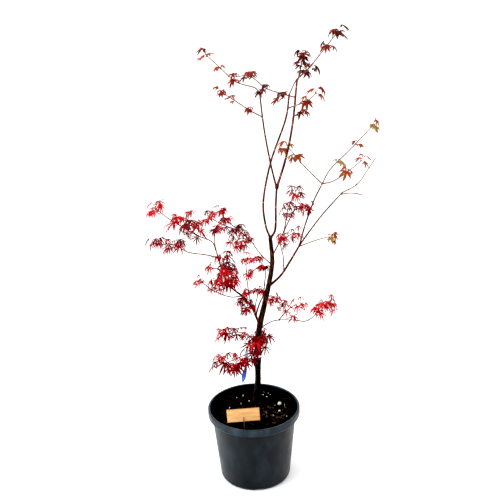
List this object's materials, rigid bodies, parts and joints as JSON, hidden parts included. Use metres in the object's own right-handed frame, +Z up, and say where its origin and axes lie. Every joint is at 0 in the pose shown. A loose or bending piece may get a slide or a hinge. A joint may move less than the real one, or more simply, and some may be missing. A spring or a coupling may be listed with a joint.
{
  "type": "potted japanese maple",
  "caption": "Young slender tree with an open crown of drooping, deeply cut red leaves on thin dark boughs, standing in a round plastic nursery pot with a plain label card.",
  "frame": {"origin": "centre of the pot's flat underside, where it stands on the ground", "axes": "+Z up along the pot's axis, +X to the plant's right seen from its front, -Y towards its front, where the label card stands"},
  "size_m": [0.5612, 0.2783, 1.1757],
  "materials": {
    "pot": "dark slate grey moulded plastic with a soft sheen",
    "soil": "nearly black moist potting mix",
    "trunk_bark": "dark brown bark with paler ridges",
    "bough_bark": "smooth reddish brown young bark",
    "red_foliage": "soft crimson leaf",
    "bronze_foliage": "soft bronze red young leaf",
    "bare_twigs": "tan and reddish brown young bark",
    "label_card": "plain orange tan kraft board",
    "label_pick": "dark coated wire",
    "hang_tag": "thin blue plastic strip"
  },
  "bodies": {
    "root": {"foliage_arm_back": "red_foliage", "foliage_arm_front": "red_foliage", "foliage_arm_tip": "red_foliage", "foliage_inner_tip": "red_foliage", "foliage_left_dense_back": "red_foliage", "foliage_left_dense_front": "red_foliage", "foliage_left_dense_low": "red_foliage", "foliage_left_leader_sprig": "bronze_foliage", "foliage_left_leader_tip": "bronze_foliage", "foliage_left_low_tip": "red_foliage", "foliage_left_low_twig": "red_foliage", "foliage_left_mid_side": "red_foliage", "foliage_left_mid_twig": "red_foliage", "foliage_left_rise": "red_foliage", "foliage_left_side_twig": "red_foliage", "foliage_low_left_front": "red_foliage", "foliage_low_right_front": "red_foliage", "foliage_low_right_tip": "red_foliage", "foliage_mid_left_down": "red_foliage", "foliage_mid_left_tip": "red_foliage", "foliage_mid_right_low": "red_foliage", "foliage_mid_right_out": "red_foliage", "foliage_mid_right_tip": "red_foliage", "foliage_right_inner_left": "bronze_foliage", "foliage_right_inner_out": "bronze_foliage", "foliage_right_inner_up": "bronze_foliage", "foliage_right_low_spur": "bronze_foliage", "foliage_right_outer_spur": "bare_twigs", "foliage_right_outer_tip": "bare_twigs", "foliage_top_back": "bronze_foliage", "foliage_top_front": "bronze_foliage", "foliage_top_inner": "bronze_foliage", "foliage_top_right_back": "bronze_foliage", "foliage_top_right_front": "bronze_foliage", "foliage_top_tip": "bronze_foliage", "foliage_trunk_back": "red_foliage", "foliage_trunk_front": "red_foliage", "foliage_trunk_left": "red_foliage", "foliage_trunk_low_left": "red_foliage", "foliage_trunk_right": "red_foliage", "foliage_upper_left_back": "red_foliage", "hang_tag": "hang_tag", "inner_bough": "bough_bark", "label_card": "label_card", "label_pick": "label_pick", "left_leader": "bough_bark", "left_stem": "bough_bark", "low_left_arm": "bough_bark", "low_left_bough": "bough_bark", "low_right_bough": "bough_bark", "mid_left_bough": "bough_bark", "mid_right_bough": "bough_bark", "pot": "pot", "right_bough": "bough_bark", "right_inner_bough": "bough_bark", "right_leader": "bough_bark", "right_outer_bough": "bough_bark", "right_stem": "bough_bark", "soil": "soil", "trunk": "trunk_bark"}
  },
  "joints": []
}
